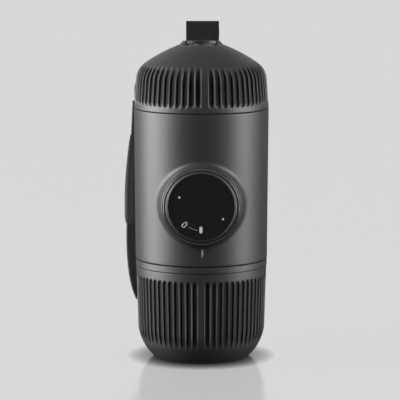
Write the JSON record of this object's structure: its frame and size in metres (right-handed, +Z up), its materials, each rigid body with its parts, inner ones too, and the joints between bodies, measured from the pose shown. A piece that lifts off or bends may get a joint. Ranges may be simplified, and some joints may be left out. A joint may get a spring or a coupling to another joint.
{
  "type": "handheld manual espresso maker",
  "caption": "Pocket hand-pumped espresso maker: ribbed water tank, pump body with a round push button, portafilter, filter basket, ribbed drinking cup and hand strap.",
  "frame": {"origin": "middle of the cup's foot on the table", "axes": "+Z up through the maker's axis, -Y is the side with the pump button"},
  "size_m": [0.0724, 0.0787, 0.1644],
  "materials": {
    "shell": "matte dark grey",
    "gloss_black": "gloss black",
    "silicone": "soft silicone",
    "stainless": "brushed",
    "inner_plastic": "satin black",
    "webbing": "woven",
    "mesh_pad": "mesh"
  },
  "bodies": {
    "cup": {"cup": "shell"},
    "portafilter": {"portafilter": "shell", "cup_seal": "silicone", "outlet_nozzle": "inner_plastic", "outlet_washer": "silicone"},
    "basket": {"filter_basket": "stainless"},
    "gasket": {"brew_gasket": "silicone"},
    "body": {"body_shell": "shell", "trim_ring": "gloss_black", "brew_head": "inner_plastic", "shower_screen": "stainless", "shower_screw": "stainless", "pump_cylinder": "inner_plastic", "pump_screws": "stainless", "block_seal": "silicone", "valve_block": "inner_plastic", "block_screws": "stainless", "inlet_seat": "inner_plastic", "inlet_duckbill": "silicone", "outlet_cage": "inner_plastic", "outlet_spring": "stainless", "feed_sleeve": "silicone", "relief_cap": "inner_plastic", "relief_spring": "stainless", "tank_plate": "inner_plastic", "inlet_strainer": "stainless", "snap_retainer": "stainless", "frame_rods": "stainless", "suction_tube": "silicone", "pump_spring": "stainless", "tank_seal": "silicone"},
    "piston": {"piston": "inner_plastic", "piston_seal": "silicone", "wear_band": "inner_plastic", "button_screw": "stainless"},
    "button": {"button_cap": "gloss_black", "button_plate": "gloss_black"},
    "outlet_ball": {"outlet_ball": "stainless"},
    "relief_poppet": {"relief_poppet": "inner_plastic"},
    "bush": {"crown_bush": "inner_plastic", "crown_screw": "stainless"},
    "tank": {"tank": "shell"},
    "crown": {"crown": "shell", "strap_pin": "stainless"},
    "strap": {"strap_tab": "webbing", "strap_neck": "webbing", "strap_loop": "webbing", "strap_pad": "mesh_pad"}
  },
  "joints": [
    {"name": "cup_release", "type": "slide", "parent": "cup", "child": "portafilter", "axis": [0, 0, 1], "range_m": [0, 0.046]},
    {"name": "basket_lift", "type": "slide", "parent": "portafilter", "child": "basket", "axis": [0, 0, 1], "range_m": [0, 0.03]},
    {"name": "body_rise", "type": "slide", "parent": "basket", "child": "gasket", "axis": [0, 0, 1], "range_m": [0, 0.008]},
    {"name": "body_turn", "type": "hinge", "parent": "gasket", "child": "body", "pos_m": [0, 0, 0.0527], "axis": [0, 0, 1], "range_deg": [0, 481]},
    {"name": "pump_slide", "type": "slide", "parent": "body", "child": "piston", "axis": [0, -1, 0], "range_m": [0, 0.014], "deforming": ["pump_spring"]},
    {"name": "button_turn", "type": "hinge", "parent": "piston", "child": "button", "pos_m": [0, -0.0386, 0.0794], "axis": [0, -1, 0], "range_deg": [0, 42]},
    {"name": "outlet_lift", "type": "slide", "parent": "body", "child": "outlet_ball", "axis": [0, 0, -1], "range_m": [0, 0.001], "stiffness_N_per_m": 150, "springref_m": -0.002, "deforming": ["outlet_spring"]},
    {"name": "relief_lift", "type": "slide", "parent": "body", "child": "relief_poppet", "axis": [1, 0, 0], "range_m": [0, 0.0012], "stiffness_N_per_m": 2000, "springref_m": -0.002, "deforming": ["relief_spring"]},
    {"name": "tank_rise", "type": "slide", "parent": "body", "child": "bush", "axis": [0, 0, 1], "range_m": [0, 0.009]},
    {"name": "tank_turn", "type": "hinge", "parent": "bush", "child": "tank", "pos_m": [0, 0, 0.1237], "axis": [0, 0, 1], "range_deg": [0, 541]},
    {"name": "strap_swivel", "type": "hinge", "parent": "bush", "child": "crown", "pos_m": [0, 0, 0.1543], "axis": [0, 0, 1], "range_deg": [-90, 55]},
    {"name": "strap_swing", "type": "hinge", "parent": "crown", "child": "strap", "pos_m": [0, 0.024, 0.15096], "axis": [1, 0, 0], "range_deg": [0, 35]}
  ],
  "couplings": [
    {"joint": "body_turn", "follows": "body_rise", "rad_per_m": 1047.2},
    {"joint": "tank_turn", "follows": "tank_rise", "rad_per_m": 1047.2}
  ]
}
